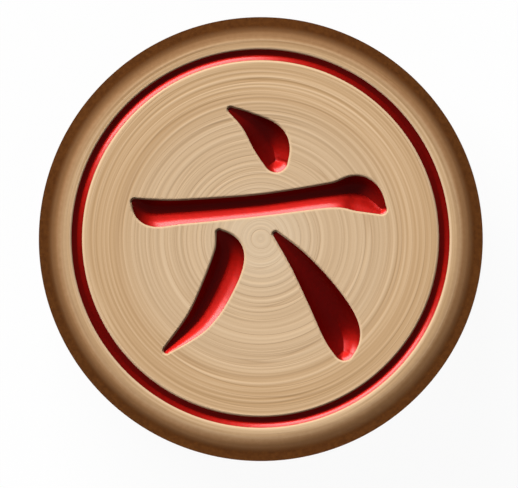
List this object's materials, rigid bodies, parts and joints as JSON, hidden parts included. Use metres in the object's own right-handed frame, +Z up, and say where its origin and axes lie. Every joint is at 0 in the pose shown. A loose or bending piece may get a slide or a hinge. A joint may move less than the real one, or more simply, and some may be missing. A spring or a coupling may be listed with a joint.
{
  "type": "xiangqi piece",
  "caption": "Round turned wooden xiangqi piece with a bulging dark rim, a red painted ring groove and a carved numeral lined with red paint, which slides and stacks on a game board.",
  "frame": {"origin": "centre of the lower flat face, which the piece rests on", "axes": "+Z up through the carved face, +Y towards the top of the numeral, +X to the numeral's right"},
  "size_m": [0.05, 0.05, 0.02],
  "materials": {
    "turned_wood": "turned pale wood with a matt finish, toned dark brown on the shoulder and the side",
    "red_paint": "glossy red enamel brushed into the grooves"
  },
  "bodies": {
    "root": {"disc": "turned_wood", "ring_paint": "red_paint", "dot_paint": "red_paint", "bar_paint": "red_paint", "left_leg_paint": "red_paint", "right_leg_paint": "red_paint"}
  },
  "joints": []
}
